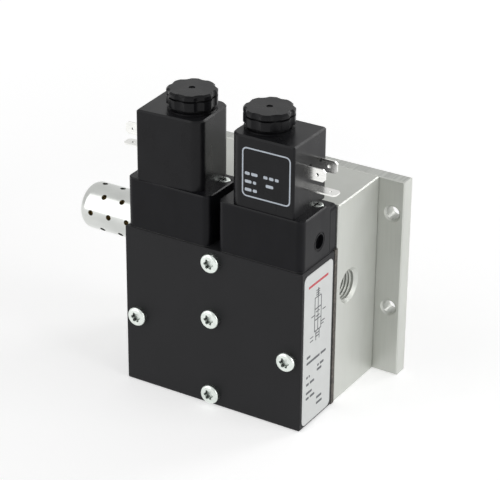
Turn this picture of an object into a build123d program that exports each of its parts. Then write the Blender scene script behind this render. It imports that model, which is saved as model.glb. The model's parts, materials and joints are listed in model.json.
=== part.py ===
"""Two-solenoid pneumatic safety valve for a press, on its mounting plate.

Sizes are in millimetres. X runs to the right, Y to the back and Z up.
While the pieces are built, x is 0 on the middle plane of the valve, y is 0 on the
back face of the mounting plate and z is 0 on the underside. Each piece is then
lowered by hole_pattern_height, which puts the origin in the middle of the four
mounting holes, on the face that is screwed to the machine.
"""
import os

from build123d import *

os.makedirs("parts", exist_ok=True)

# Outer blocks
valve_width = 100.0
plate_width = 128.0
plate_depth = 8.0
body_depth = 40.0
body_height = 107.5
seal_plate_depth = 2.6
block_depth = 31.0
block_height = 85.0
edge_break = 0.6
plate_back_round = 1.5

# Mounting holes of the plate
hole_spacing_x = 115.5
hole_spacing_z = 52.0
hole_pattern_height = 63.2
mounting_hole_radius = 3.5
mounting_hole_chamfer = 1.0

# Clearances
screw_clearance = 0.25
running_clearance = 0.05
seat_gap = 0.3
assembly_gap = 0.1

# Where the two valve systems stand
valve_axis_x = 21.3
valve_axis_from_front = 16.6

# Screws that hold the valve block to the port body
block_screw_radius = 3.0
block_screw_head_radius = 5.0
block_screw_head_height = 3.0
block_screw_engagement = 11.0
block_screw_recess_core = 2.1
block_screw_recess_lobe = 0.65
block_screw_recess_depth = 1.9
block_screw_edge = 6.5
block_screw_middle = 48.3
block_screw_side_x = 42.6
block_screw_side_height = 37.5
block_screw_places = [
    (0.0, block_height - block_screw_edge),
    (0.0, block_screw_middle),
    (0.0, block_screw_edge),
    (-block_screw_side_x, block_screw_side_height),
    (block_screw_side_x, block_screw_side_height),
]

# Screws that hold the mounting plate to the port body
plate_screw_radius = 2.5
plate_screw_head_radius = 5.0
plate_screw_engagement = 12.0
plate_screw_x = 38.0
plate_screw_from_bottom = 9.0
plate_screw_from_top = 13.5
plate_screw_seat_overlap = 0.5

# Ports and galleries of the port body
port_bore_radius = 7.475
port_mouth_depth = 1.6
port_mouth_radius = port_bore_radius + port_mouth_depth
side_port_depth = 18.0
side_port_from_plate_front = 27.9
side_port_height = 59.9
inlet_port_depth = 14.0
inlet_port_from_plate_front = 18.0
gallery_from_plate_front = 20.1
gallery_radius = 6.0
exhaust_gallery_radius = 6.5
inlet_height = 16.0
outlet_height = 38.0
exhaust_from_block_top = 24.2
exhaust_height = block_height - exhaust_from_block_top
drilling_radius = 4.5
outlet_drop_x = 38.0
outlet_drop_radius = 5.0
gallery_end_wall = 6.0
gallery_plug_length = 8.0
plug_socket_radius = 2.9
plug_socket_depth = 4.0
bore_plug_socket_radius = 4.6

# Seal rings between the valve block and the port body
seal_ring_inner_radius = 5.6
seal_ring_outer_radius = 7.4
seal_ring_depth = 1.6

# One valve system inside the block, from the underside up
chamber_radius = 10.0
bore_plug_bottom = 0.5
bore_plug_top = 8.0
seat_hole_radius = 5.5
seat_thickness = 4.0
inlet_seat_bottom = (inlet_height + outlet_height - seat_thickness) / 2
exhaust_seat_bottom = (outlet_height + exhaust_height - seat_thickness) / 2
piston_chamber_height = 13.0
guide_thickness = 4.0
guide_top = block_height - piston_chamber_height
guide_bottom = guide_top - guide_thickness
spool_travel = 4.0
piston_floor_gap = 1.0
piston_bore_radius = 12.0
piston_bottom = guide_top + spool_travel + piston_floor_gap
piston_height = 6.0
piston_seal_inset = 2.0
piston_seal_bottom = piston_bottom + piston_seal_inset
piston_seal_height = 2.4
piston_seal_inner_radius = 10.2
stem_radius = 3.0
poppet_radius = 7.5
poppet_height = 4.0
poppet_rubber = 1.5
spool_spring_radius = 5.0
spool_spring_wire = 0.65
spool_spring_turns = 5

# Pilot housings on top of the block
pilot_inner_x = 2.5
pilot_outer_x = 49.0
pilot_front_inset = 1.0
pilot_depth = 26.0
pilot_gasket_thickness = 0.4
pilot_bottom = block_height + pilot_gasket_thickness
pilot_height = 24.9
pilot_top = pilot_bottom + pilot_height
pilot_corner_radius = 3.5
cover_thickness = 1.0
cover_depth = 22.5
cover_bevel = 0.45
adapter_gap = 0.3
adapter_drop = 1.7
adapter_top = pilot_top - adapter_drop
adapter_corner_radius = 2.5
seam_reveal = 0.35
pilot_screw_radius = 2.0
pilot_screw_head_radius = 3.5
pilot_screw_head_height = 2.5
pilot_screw_head_rise = 0.7
pilot_screw_head_top = pilot_top + pilot_screw_head_rise
pilot_screw_cross_length = 3.6
pilot_screw_cross_width = 0.9
pilot_screw_cross_depth = 1.5
pilot_screw_inset_x = 5.4
pilot_screw_from_front = 22.4
pilot_screw_engagement = 11.0
pilot_recess_clearance = 0.4
vent_from_bottom = 9.8
vent_height = pilot_bottom + vent_from_bottom
vent_from_front = 16.3
vent_ring_outer_radius = 4.8
vent_ring_inner_radius = 4.3
vent_ring_depth = 0.35
vent_mouth_radius = 3.7
vent_mouth_depth = 2.5
vent_hole_radius = 2.6
vent_hole_wall = 2.0
pilot_drilling_radius = 1.5
pilot_drilling_gap = 0.4
pilot_feed_depth = 3.0

# Guide tube, fixed core, armature and nozzle of a solenoid
tube_radius = 6.5
tube_bore_radius = 5.05
tube_from_pilot_bottom = 11.6
tube_bottom = pilot_bottom + tube_from_pilot_bottom
tube_above_coil = 2.5
tube_flange_radius = 10.0
tube_flange_height = 3.0
armature_clearance = 1.0
armature_length = 28.5
armature_bottom = tube_bottom + armature_clearance
armature_top = armature_bottom + armature_length
armature_travel = 1.2
core_stud_radius = 4.0
core_stud_height = 5.5
armature_seal_radius = 2.5
armature_seal_height = 2.8
nozzle_radius = 3.0
nozzle_length = 7.0
nozzle_bottom = tube_bottom - nozzle_length
nozzle_hole_radius = 0.8
spring_pocket_radius = 2.9
spring_pocket_depth = 9.5
armature_spring_radius = 2.2
armature_spring_wire = 0.35
armature_spring_turns = 7

# Coil: distances from the axis of its guide tube
coil_plain_side = 12.6
coil_terminal_side = 22.3
coil_half_depth = 14.75
coil_bottom = pilot_top + cover_thickness
coil_height = 36.2
coil_top = coil_bottom + coil_height
tube_top = coil_top + tube_above_coil
core_stud_top = tube_top + core_stud_height
coil_round_radius = 5.5
coil_sharp_radius = 1.0
coil_edge_round = 0.8
coil_hole_radius = 6.65
left_coil_turn = 3.0
winding_inner_radius = 8.0
winding_outer_radius = 11.0
winding_from_ends = 5.6
winding_bottom = coil_bottom + winding_from_ends
winding_top = coil_top - winding_from_ends
yoke_thickness = 2.0
yoke_half_width = 9.0
yoke_web_start = 13.0
yoke_plain_end = 10.5
connector_screw_radius = 1.25
connector_screw_depth = 8.0
line_terminal_from_bottom = 21.4
line_terminal_height = coil_bottom + line_terminal_from_bottom

# Flat terminals
terminal_width = 6.3
terminal_thickness = 0.8
terminal_root = 15.6
line_terminal_tip = 33.6
line_terminal_spacing = 11.0
earth_terminal_tip = 37.3
earth_terminal_below = 10.3
earth_terminal_height = line_terminal_height - earth_terminal_below
terminal_chamfer = 1.3
terminal_hole_radius = 0.85
terminal_hole_from_tip = 4.3

# Nut on top of a coil, from the coil up
nut_flange_radius = 12.0
nut_flange_height = 1.2
nut_waist_radius = 10.2
nut_waist_height = 2.9
nut_waist_top = coil_top + nut_waist_height
nut_lobe_radius = 12.3
nut_lobes = 8
nut_notch_radius = 5.0
nut_notch_depth = 0.9
nut_lobe_corner = 1.2
nut_lower_disc_height = 4.2
nut_lower_disc_top = nut_waist_top + nut_lower_disc_height
nut_groove_radius = 10.8
nut_groove_height = 1.0
nut_groove_top = nut_lower_disc_top + nut_groove_height
nut_upper_disc_height = 2.4
nut_top = nut_groove_top + nut_upper_disc_height
nut_bevel = 0.9
nut_dimple_radius = 1.6
nut_dimple_depth = 0.5
nut_ring_inner_radius = 7.2
nut_ring_outer_radius = 9.2
nut_ring_height = 1.0

# Silencer screwed into the exhaust port
silencer_radius = 12.6
silencer_wall = 1.0
silencer_length = 59.2
silencer_end_round = 5.5
silencer_collar = 3.0
silencer_spigot = 8.0
silencer_thread_length = 14.0
silencer_bore_radius = 5.5
diffuser_outer_radius = 10.0
diffuser_inner_radius = 7.5
diffuser_end_gap = 5.0
perforation_radius = 1.5
perforation_rows = 8
perforation_first_angle = 6.0
perforation_pitch = 11.2
perforation_from_end = 8.8
perforations_per_row = 3

# Label on the right side of the block
label_thickness = 0.25
label_from_front = 2.0
label_depth = 26.8
label_bottom = 1.5
label_from_top = 2.4
label_top = block_height - label_from_top
label_corner_radius = 3.0

# Planes that several pieces share
plate_front = -plate_depth
body_front = plate_front - body_depth
block_back = body_front - seal_plate_depth
block_front = block_back - block_depth
valve_axis_y = block_front + valve_axis_from_front
half_width = valve_width / 2
gallery_y = plate_front - gallery_from_plate_front
side_port_y = plate_front - side_port_from_plate_front
inlet_port_y = plate_front - inlet_port_from_plate_front
pilot_front = block_front + pilot_front_inset
pilot_seam = pilot_front + pilot_depth
pilot_back = body_front - adapter_gap
cover_top = coil_bottom
core_bottom = armature_top + armature_travel + seat_gap
pilot_feed_height = nozzle_bottom - pilot_feed_depth / 2
vent_hole_end_x = valve_axis_x + tube_radius + vent_hole_wall
sides = {"left": -1, "right": 1}


def save(name, *pieces):
    """Write one node, a single solid or a group of like ones, in the frame of the part."""
    lowered = [piece.moved(Location((0, 0, -hole_pattern_height))) for piece in pieces]
    shape = lowered[0] if len(lowered) == 1 else Compound(children=lowered)
    export_step(shape, f"parts/{name}.step")


def bar(x0, x1, y0, y1, z0, z1):
    """Rectangular block between two limits on each axis, given in either order."""
    middle = ((x0 + x1) / 2, (y0 + y1) / 2, (z0 + z1) / 2)
    return Pos(*middle) * Box(abs(x1 - x0), abs(y1 - y0), abs(z1 - z0))


def rod_x(y, z, radius, x0, x1):
    return Pos((x0 + x1) / 2, y, z) * Rot(0, 90, 0) * Cylinder(radius, abs(x1 - x0))


def rod_y(x, z, radius, y0, y1):
    return Pos(x, (y0 + y1) / 2, z) * Rot(90, 0, 0) * Cylinder(radius, abs(y1 - y0))


def rod_z(x, y, radius, z0, z1):
    return Pos(x, y, (z0 + z1) / 2) * Cylinder(radius, abs(z1 - z0))


def ring_z(x, y, outer, inner, z0, z1):
    return rod_z(x, y, outer, z0, z1) - rod_z(x, y, inner, z0 - 1, z1 + 1)


def mouth(place, radius):
    """Cone that breaks the edge of a port, with its wide end on the face at place."""
    return place * Cone(radius - port_mouth_depth, radius, port_mouth_depth)


def mounting_hole_places():
    for x in (-hole_spacing_x / 2, hole_spacing_x / 2):
        for z in (-hole_spacing_z / 2, hole_spacing_z / 2):
            yield x, hole_pattern_height + z


def plate_screw_places():
    for x in (-plate_screw_x, plate_screw_x):
        for z in (plate_screw_from_bottom, body_height - plate_screw_from_top):
            yield x, z


def pilot_screw_places(side):
    """The two screws of one pilot housing, near its back corners."""
    y = pilot_front + pilot_screw_from_front
    for x in (pilot_inner_x + pilot_screw_inset_x, pilot_outer_x - pilot_screw_inset_x):
        yield side * x, y


def lobed_recess(core, lobe, depth):
    """Six-lobe driver recess that opens at the origin and runs up the Z axis."""
    profile = Circle(core) + PolarLocations(core, 6) * Circle(lobe)
    return extrude(profile, depth)


def make_mounting_plate():
    half_plate = plate_width / 2
    plate = bar(-half_plate, half_plate, plate_front, 0, 0, body_height)
    back_top = plate.faces().sort_by(Axis.Y)[-1].edges().sort_by(Axis.Z)[-1]
    plate = fillet(back_top, plate_back_round)
    front_edges = plate.faces().sort_by(Axis.Y)[0].edges()
    plate = chamfer(front_edges, edge_break)
    for x, z in mounting_hole_places():
        plate -= rod_y(x, z, mounting_hole_radius, plate_front - 1, 1)
        wide = mounting_hole_radius + mounting_hole_chamfer
        countersink = Cone(mounting_hole_radius, wide, mounting_hole_chamfer)
        plate -= Pos(x, plate_front + mounting_hole_chamfer / 2, z) * Rot(90, 0, 0) * countersink
    for x, z in plate_screw_places():
        plate -= rod_y(x, z, plate_screw_radius + screw_clearance, plate_front - 1, 1)
        plate -= plate_screw_head(x, z, screw_clearance)
    return plate


def plate_screw_head(x, z, clearance):
    """Countersunk head, its flat end on the back face of the plate."""
    height = plate_screw_head_radius - plate_screw_radius
    narrow = plate_screw_radius + clearance
    wide = plate_screw_head_radius + clearance
    return Pos(x, -height / 2, z) * Rot(-90, 0, 0) * Cone(narrow, wide, height)


def make_plate_screw(x, z):
    shank = rod_y(x, z, plate_screw_radius,
                  plate_front - plate_screw_engagement, -plate_screw_seat_overlap)
    return shank + plate_screw_head(x, z, 0)


def make_port_body():
    body = bar(-half_width, half_width, body_front, plate_front, 0, body_height)
    body = chamfer(body.edges(), edge_break)
    # outlet port on the right side, with its drop to the outlet gallery
    body -= rod_x(side_port_y, side_port_height, port_bore_radius,
                  half_width - side_port_depth, half_width + 1)
    face = Pos(half_width - port_mouth_depth / 2, side_port_y, side_port_height) * Rot(0, 90, 0)
    body -= mouth(face, port_mouth_radius)
    body -= rod_z(outlet_drop_x, gallery_y, outlet_drop_radius, outlet_height, side_port_height)
    # inlet port in the underside
    body -= rod_z(0, inlet_port_y, port_bore_radius, -1, inlet_port_depth)
    face = Pos(0, inlet_port_y, port_mouth_depth / 2) * Rot(180, 0, 0)
    body -= mouth(face, port_mouth_radius)
    # exhaust port on the left side and the three galleries
    body -= rod_x(gallery_y, exhaust_height, port_bore_radius,
                  -half_width - 1, -half_width + silencer_thread_length + 2)
    far_drilling = valve_axis_x + drilling_radius
    body -= rod_x(gallery_y, exhaust_height, exhaust_gallery_radius, -half_width, far_drilling)
    body -= rod_x(gallery_y, outlet_height, gallery_radius,
                  -half_width - 1, half_width - gallery_end_wall)
    body -= rod_x(gallery_y, inlet_height, gallery_radius, -half_width - 1, far_drilling)
    for side in sides.values():
        for height in (inlet_height, outlet_height, exhaust_height):
            body -= rod_y(side * valve_axis_x, height, drilling_radius, body_front - 1, gallery_y)
    # tapped holes
    for x, z in block_screw_places:
        body -= rod_y(x, z, block_screw_radius, body_front - 1, body_front + block_screw_engagement)
    for x, z in plate_screw_places():
        body -= rod_y(x, z, plate_screw_radius, plate_front - plate_screw_engagement, plate_front + 1)
    return body


def make_gallery_plug(height):
    plug = rod_x(gallery_y, height, gallery_radius, -half_width, -half_width + gallery_plug_length)
    socket = extrude(RegularPolygon(plug_socket_radius, 6), plug_socket_depth)
    return plug - Pos(-half_width, gallery_y, height) * Rot(0, 90, 0) * socket


def seal_ring_places():
    for side in sides.values():
        for height in (inlet_height, outlet_height, exhaust_height):
            yield side * valve_axis_x, height


def make_seal_ring(x, z):
    outer = rod_y(x, z, seal_ring_outer_radius, block_back, block_back + seal_ring_depth)
    return outer - rod_y(x, z, seal_ring_inner_radius, block_back - 1, body_front)


def make_seal_plate():
    plate = bar(-half_width, half_width, block_back, body_front, 0, block_height)
    for x, z in seal_ring_places():
        plate -= rod_y(x, z, drilling_radius, block_back - 1, body_front + 1)
        plate -= make_seal_ring(x, z)
    for x, z in block_screw_places:
        plate -= rod_y(x, z, block_screw_radius + screw_clearance, block_back - 1, body_front + 1)
    return plate


def make_valve_block():
    block = bar(-half_width, half_width, block_front, block_back, 0, block_height)
    block = chamfer(block.edges(), edge_break)
    for side in sides.values():
        x = side * valve_axis_x
        block -= rod_z(x, valve_axis_y, chamber_radius, -1, guide_top)
        block -= rod_z(x, valve_axis_y, piston_bore_radius, guide_top, block_height + 1)
        for height in (inlet_height, outlet_height, exhaust_height):
            block -= rod_y(x, height, drilling_radius, valve_axis_y, block_back + 1)
        for screw_x, screw_y in pilot_screw_places(side):
            block -= rod_z(screw_x, screw_y, pilot_screw_radius,
                           block_height - pilot_screw_engagement, block_height + 1)
    for x, z in block_screw_places:
        block -= rod_y(x, z, block_screw_radius + screw_clearance, block_front - 1, block_back + 1)
    return block


def make_block_screw(x, z):
    head = rod_y(x, z, block_screw_head_radius, block_front - block_screw_head_height, block_front)
    rim = head.faces().sort_by(Axis.Y)[0].edges()
    head = fillet(rim, block_screw_head_height * 0.45)
    recess = lobed_recess(block_screw_recess_core, block_screw_recess_lobe, block_screw_recess_depth)
    head -= Pos(x, block_front - block_screw_head_height, z) * Rot(-90, 0, 0) * recess
    return head + rod_y(x, z, block_screw_radius, block_front, body_front + block_screw_engagement)


def make_side_label():
    back = block_front + label_from_front + label_depth
    label = bar(half_width, half_width + label_thickness,
                block_front + label_from_front, back, label_bottom, label_top)
    return fillet(label.edges().filter_by(Axis.X), label_corner_radius)


def make_bore_plug(x):
    plug = rod_z(x, valve_axis_y, chamber_radius, bore_plug_bottom, bore_plug_top)
    socket = extrude(RegularPolygon(bore_plug_socket_radius, 6), plug_socket_depth)
    return plug - Pos(x, valve_axis_y, bore_plug_bottom) * socket


def make_seats(x):
    return [ring_z(x, valve_axis_y, chamber_radius, seat_hole_radius, z, z + seat_thickness)
            for z in (inlet_seat_bottom, exhaust_seat_bottom)]


def make_stem_guide(x):
    hole = stem_radius + running_clearance
    return ring_z(x, valve_axis_y, chamber_radius, hole, guide_bottom, guide_top)


inlet_poppet_top = inlet_seat_bottom - seat_gap
inlet_poppet_bottom = inlet_poppet_top - poppet_height
exhaust_poppet_bottom = exhaust_seat_bottom + seat_thickness + spool_travel + seat_gap


def make_poppet_rubbers(x):
    """Rubber faces of the two poppets, each towards the seat that it closes."""
    spans = [(inlet_poppet_top - poppet_rubber, inlet_poppet_top),
             (exhaust_poppet_bottom, exhaust_poppet_bottom + poppet_rubber)]
    return [ring_z(x, valve_axis_y, poppet_radius, stem_radius, z0, z1) for z0, z1 in spans]


def make_piston_seal(x):
    return ring_z(x, valve_axis_y, piston_bore_radius - running_clearance, piston_seal_inner_radius,
                  piston_seal_bottom, piston_seal_bottom + piston_seal_height)


def make_spool(x):
    """Stem with its piston and the metal discs that carry the poppet rubbers."""
    piston_top = piston_bottom + piston_height
    spool = rod_z(x, valve_axis_y, stem_radius, inlet_poppet_bottom, piston_top)
    spool += rod_z(x, valve_axis_y, poppet_radius, inlet_poppet_bottom, inlet_poppet_top)
    spool += rod_z(x, valve_axis_y, poppet_radius,
                   exhaust_poppet_bottom, exhaust_poppet_bottom + poppet_height)
    spool += rod_z(x, valve_axis_y, piston_bore_radius - running_clearance, piston_bottom, piston_top)
    spool -= make_piston_seal(x)
    for rubber in make_poppet_rubbers(x):
        spool -= rubber
    return spool


def make_spring(x, radius, wire, turns, bottom, top):
    """Coil spring whose ends rest on the planes bottom and top."""
    height = top - bottom - 2 * wire
    path = Pos(x, valve_axis_y, bottom + wire) * Helix(height / turns, height, radius)
    section = Plane(origin=path @ 0, z_dir=path % 0) * RegularPolygon(wire, 6)
    return sweep(section, path=path)


def make_pilot_gasket(side):
    gasket = bar(side * pilot_inner_x, side * pilot_outer_x, pilot_front, pilot_back,
                 block_height, pilot_bottom)
    gasket = fillet(gasket.edges().filter_by(Axis.Z).sort_by(Axis.Y)[:2], pilot_corner_radius)
    gasket -= rod_z(side * valve_axis_x, valve_axis_y, piston_bore_radius,
                    block_height - 1, pilot_bottom + 1)
    for x, y in pilot_screw_places(side):
        gasket -= rod_z(x, y, pilot_screw_radius + screw_clearance, block_height - 1, pilot_bottom + 1)
    return gasket


def make_pilot_housing(side):
    housing = bar(side * pilot_inner_x, side * pilot_outer_x, pilot_front, pilot_seam,
                  pilot_bottom, pilot_top)
    housing = fillet(housing.edges().filter_by(Axis.Z).sort_by(Axis.Y)[:2], pilot_corner_radius)
    x = side * valve_axis_x
    fit = assembly_gap
    housing -= rod_z(x, valve_axis_y, tube_flange_radius + fit,
                     pilot_top - tube_flange_height, pilot_top + 1)
    housing -= rod_z(x, valve_axis_y, tube_radius + fit, tube_bottom, pilot_top)
    housing -= rod_z(x, valve_axis_y, nozzle_radius, nozzle_bottom, tube_bottom)
    # passage from the armature chamber down to the piston, and the air feed of the nozzle
    passage_x = x + side * (nozzle_radius + pilot_drilling_radius + pilot_drilling_gap)
    housing -= rod_z(passage_x, valve_axis_y, pilot_drilling_radius, pilot_bottom - 1, tube_bottom)
    housing -= rod_z(x, valve_axis_y, pilot_drilling_radius,
                     nozzle_bottom - pilot_feed_depth, nozzle_bottom)
    housing -= rod_y(x, pilot_feed_height, pilot_drilling_radius, valve_axis_y, pilot_seam + 1)
    # vent on the outer side
    vent_y = pilot_front + vent_from_front
    outer = side * pilot_outer_x
    housing -= rod_x(vent_y, vent_height, vent_mouth_radius, outer - side * vent_mouth_depth, outer + side)
    housing -= rod_x(vent_y, vent_height, vent_hole_radius, side * vent_hole_end_x, outer)
    ring_floor = outer - side * vent_ring_depth
    ring = rod_x(vent_y, vent_height, vent_ring_outer_radius, ring_floor, outer + side)
    housing -= ring - rod_x(vent_y, vent_height, vent_ring_inner_radius, ring_floor - side, outer + side)
    for x, y in pilot_screw_places(side):
        housing -= rod_z(x, y, pilot_screw_radius + screw_clearance, pilot_bottom - 1, pilot_top)
        head_seat = pilot_screw_head_top - pilot_screw_head_height
        housing -= rod_z(x, y, pilot_screw_head_radius + pilot_recess_clearance, head_seat, pilot_top + 1)
    return housing


def make_pilot_cover(side):
    cover = bar(side * pilot_inner_x, side * pilot_outer_x, pilot_front, pilot_front + cover_depth,
                pilot_top, cover_top)
    cover = fillet(cover.edges().filter_by(Axis.Z).sort_by(Axis.Y)[:2], pilot_corner_radius)
    cover = chamfer(cover.faces().sort_by(Axis.Z)[-1].edges(), cover_bevel)
    cover -= rod_z(side * valve_axis_x, valve_axis_y, tube_radius + assembly_gap,
                   pilot_top - 1, cover_top + 1)
    for x, y in pilot_screw_places(side):
        cover -= rod_z(x, y, pilot_screw_head_radius + pilot_recess_clearance,
                       pilot_top - 1, cover_top + 1)
    return cover


def make_pilot_adapter(side):
    adapter = bar(side * pilot_inner_x, side * pilot_outer_x, pilot_seam, pilot_back,
                  pilot_bottom, adapter_top)
    upper_corners = adapter.edges().filter_by(Axis.Y).sort_by(Axis.Z)[-2:]
    adapter = fillet(upper_corners, adapter_corner_radius)
    adapter = chamfer(adapter.faces().sort_by(Axis.Y)[0].edges(), seam_reveal)
    return adapter - rod_y(side * valve_axis_x, pilot_feed_height, pilot_drilling_radius,
                           pilot_seam - 1, pilot_back + 1)


def make_pilot_screw(x, y):
    head_bottom = pilot_screw_head_top - pilot_screw_head_height
    head = rod_z(x, y, pilot_screw_head_radius, head_bottom, pilot_screw_head_top)
    head = fillet(head.faces().sort_by(Axis.Z)[-1].edges(), pilot_screw_head_height * 0.4)
    arm = Rectangle(pilot_screw_cross_length, pilot_screw_cross_width)
    cross = extrude(arm + Rot(0, 0, 90) * arm, pilot_screw_cross_depth)
    head -= Pos(x, y, pilot_screw_head_top) * Rot(180, 0, 0) * cross
    return head + rod_z(x, y, pilot_screw_radius, block_height - pilot_screw_engagement, head_bottom)


def make_guide_tube(x):
    tube = rod_z(x, valve_axis_y, tube_radius, tube_bottom, tube_top)
    tube += rod_z(x, valve_axis_y, tube_flange_radius, pilot_top - tube_flange_height, pilot_top)
    return tube - rod_z(x, valve_axis_y, tube_bore_radius, tube_bottom - 1, tube_top + 1)


def make_fixed_core(x):
    core = rod_z(x, valve_axis_y, tube_bore_radius, core_bottom, tube_top)
    return core + rod_z(x, valve_axis_y, core_stud_radius, tube_top, core_stud_top)


def make_armature(x):
    armature = rod_z(x, valve_axis_y, tube_bore_radius - running_clearance, armature_bottom, armature_top)
    armature -= rod_z(x, valve_axis_y, spring_pocket_radius, armature_top - spring_pocket_depth, core_bottom)
    return armature - make_armature_seal(x)


def make_armature_seal(x):
    bottom = tube_bottom + seat_gap
    return rod_z(x, valve_axis_y, armature_seal_radius, bottom, bottom + armature_seal_height)


def make_nozzle(x):
    nozzle = rod_z(x, valve_axis_y, nozzle_radius, nozzle_bottom, tube_bottom)
    return nozzle - rod_z(x, valve_axis_y, nozzle_hole_radius, nozzle_bottom - 1, tube_bottom + 1)


def make_terminal(tip, flat_up):
    """Flat blade along X with cut tip corners and a latch hole, its middle on the X axis."""
    profile = Pos((terminal_root + tip) / 2, 0) * Rectangle(tip - terminal_root, terminal_width)
    profile = chamfer(profile.vertices().sort_by(Axis.X)[-2:], terminal_chamfer)
    profile -= Pos(tip - terminal_hole_from_tip, 0) * Circle(terminal_hole_radius)
    blade = extrude(profile, terminal_thickness / 2, both=True)
    return blade if flat_up else Rot(90, 0, 0) * blade


def make_coil_terminals():
    """Two upright line blades side by side and the flat earth blade below them."""
    half = line_terminal_spacing / 2
    blades = [Pos(0, y, line_terminal_height) * make_terminal(line_terminal_tip, False)
              for y in (-half, half)]
    return blades + [Pos(0, 0, earth_terminal_height) * make_terminal(earth_terminal_tip, True)]


def make_winding():
    return ring_z(0, 0, winding_outer_radius, winding_inner_radius, winding_bottom, winding_top)


def make_yoke():
    """Steel bracket round the winding, open towards the plain side of the coil."""
    web_end = yoke_web_start + yoke_thickness
    yoke = bar(-yoke_plain_end, web_end, -yoke_half_width, yoke_half_width,
               winding_bottom - yoke_thickness, winding_top + yoke_thickness)
    yoke -= bar(-yoke_plain_end - 1, yoke_web_start, -yoke_half_width - 1, yoke_half_width + 1,
                winding_bottom, winding_top)
    return yoke - rod_z(0, 0, winding_inner_radius, coil_bottom, coil_top)


def make_coil():
    """Moulded coil, its terminals towards +X and its guide tube on the Z axis."""
    coil = bar(-coil_plain_side, coil_terminal_side, -coil_half_depth, coil_half_depth,
               coil_bottom, coil_top)
    uprights = coil.edges().filter_by(Axis.Z).sort_by(Axis.X)
    coil = fillet(uprights[:2], coil_round_radius)
    uprights = coil.edges().filter_by(Axis.Z).sort_by(Axis.X)
    coil = fillet(uprights[-2:], coil_sharp_radius)
    coil = chamfer(coil.faces().sort_by(Axis.Z)[-1].edges(), coil_edge_round)
    coil -= rod_z(0, 0, coil_hole_radius, coil_bottom - 1, coil_top + 1)
    coil -= make_winding()
    coil -= make_yoke()
    for blade in make_coil_terminals():
        coil -= blade
    return coil - rod_x(0, line_terminal_height, connector_screw_radius,
                        coil_terminal_side - connector_screw_depth + 1, coil_terminal_side + 1)


def coil_place(side):
    """The left coil is the same piece, turned half round and left a little askew."""
    turn = 0 if side > 0 else 180 + left_coil_turn
    return Pos(side * valve_axis_x, valve_axis_y, 0) * Rot(0, 0, turn)


def lobed_disc(z0, z1):
    profile = Circle(nut_lobe_radius)
    reach = nut_lobe_radius + nut_notch_radius - nut_notch_depth
    profile -= PolarLocations(reach, nut_lobes) * Circle(nut_notch_radius)
    profile = fillet(profile.vertices(), nut_lobe_corner)
    return Pos(0, 0, z0) * extrude(profile, z1 - z0)


def make_nut():
    nut = rod_z(0, 0, nut_flange_radius, coil_top, coil_top + nut_flange_height)
    nut += rod_z(0, 0, nut_waist_radius, coil_top, nut_waist_top)
    nut += lobed_disc(nut_waist_top, nut_lower_disc_top)
    nut += rod_z(0, 0, nut_groove_radius, nut_lower_disc_top, nut_groove_top)
    top_disc = lobed_disc(nut_groove_top, nut_top)
    nut += chamfer(top_disc.faces().sort_by(Axis.Z)[-1].edges(), nut_bevel)
    nut -= rod_z(0, 0, nut_dimple_radius, nut_top - nut_dimple_depth, nut_top + 1)
    nut -= rod_z(0, 0, tube_radius + assembly_gap, coil_top - 1, tube_top + assembly_gap)
    nut -= rod_z(0, 0, core_stud_radius, tube_top, core_stud_top)
    return nut - make_nut_ring()


def make_nut_ring():
    return ring_z(0, 0, nut_ring_outer_radius, nut_ring_inner_radius, coil_top, coil_top + nut_ring_height)


def silencer_place():
    """Frame with Z along the silencer, out of the left side of the body."""
    return Pos(-half_width, gallery_y, exhaust_height) * Rot(0, -90, 0)


def make_silencer_tube():
    length = silencer_length - silencer_collar
    tube = Cylinder(silencer_radius, length, align=(Align.CENTER, Align.CENTER, Align.MIN))
    tube = fillet(tube.faces().sort_by(Axis.Z)[-1].edges(), silencer_end_round)
    inner_radius = silencer_radius - silencer_wall
    hollow = Cylinder(inner_radius, length - silencer_wall,
                      align=(Align.CENTER, Align.CENTER, Align.MIN))
    hollow = fillet(hollow.faces().sort_by(Axis.Z)[-1].edges(), silencer_end_round - silencer_wall)
    tube -= hollow
    for row in range(perforation_rows):
        # the angle is counted from the top of the silencer towards its back
        angle = perforation_first_angle + row * 360 / perforation_rows
        stagger = 0 if row % 2 == 0 else perforation_pitch / 2
        for place in range(perforations_per_row):
            from_end = perforation_from_end + stagger + place * perforation_pitch
            drill = Pos(silencer_radius, 0, length - from_end) * Rot(0, 90, 0)
            tube -= Rot(0, 0, angle) * drill * Cylinder(perforation_radius, 4 * silencer_wall)
    return silencer_place() * Pos(0, 0, silencer_collar) * tube


def make_silencer_neck():
    total = silencer_thread_length + silencer_collar + silencer_spigot
    low = (Align.CENTER, Align.CENTER, Align.MIN)
    thread = Cylinder(port_bore_radius, silencer_thread_length, align=low)
    neck = Pos(0, 0, -silencer_thread_length) * thread
    neck += Cylinder(silencer_radius, silencer_collar, align=low)
    spigot = Cylinder(silencer_radius - silencer_wall, silencer_spigot, align=low)
    neck += Pos(0, 0, silencer_collar) * spigot
    bore = Cylinder(silencer_bore_radius, total + 2, align=low)
    return silencer_place() * (neck - Pos(0, 0, -silencer_thread_length - 1) * bore)


def make_diffuser():
    start = silencer_collar + silencer_spigot
    length = silencer_length - silencer_wall - diffuser_end_gap - start
    low = (Align.CENTER, Align.CENTER, Align.MIN)
    sleeve = Cylinder(diffuser_outer_radius, length, align=low)
    sleeve -= Cylinder(diffuser_inner_radius, length - 2, align=low)
    return silencer_place() * Pos(0, 0, start) * sleeve


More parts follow.
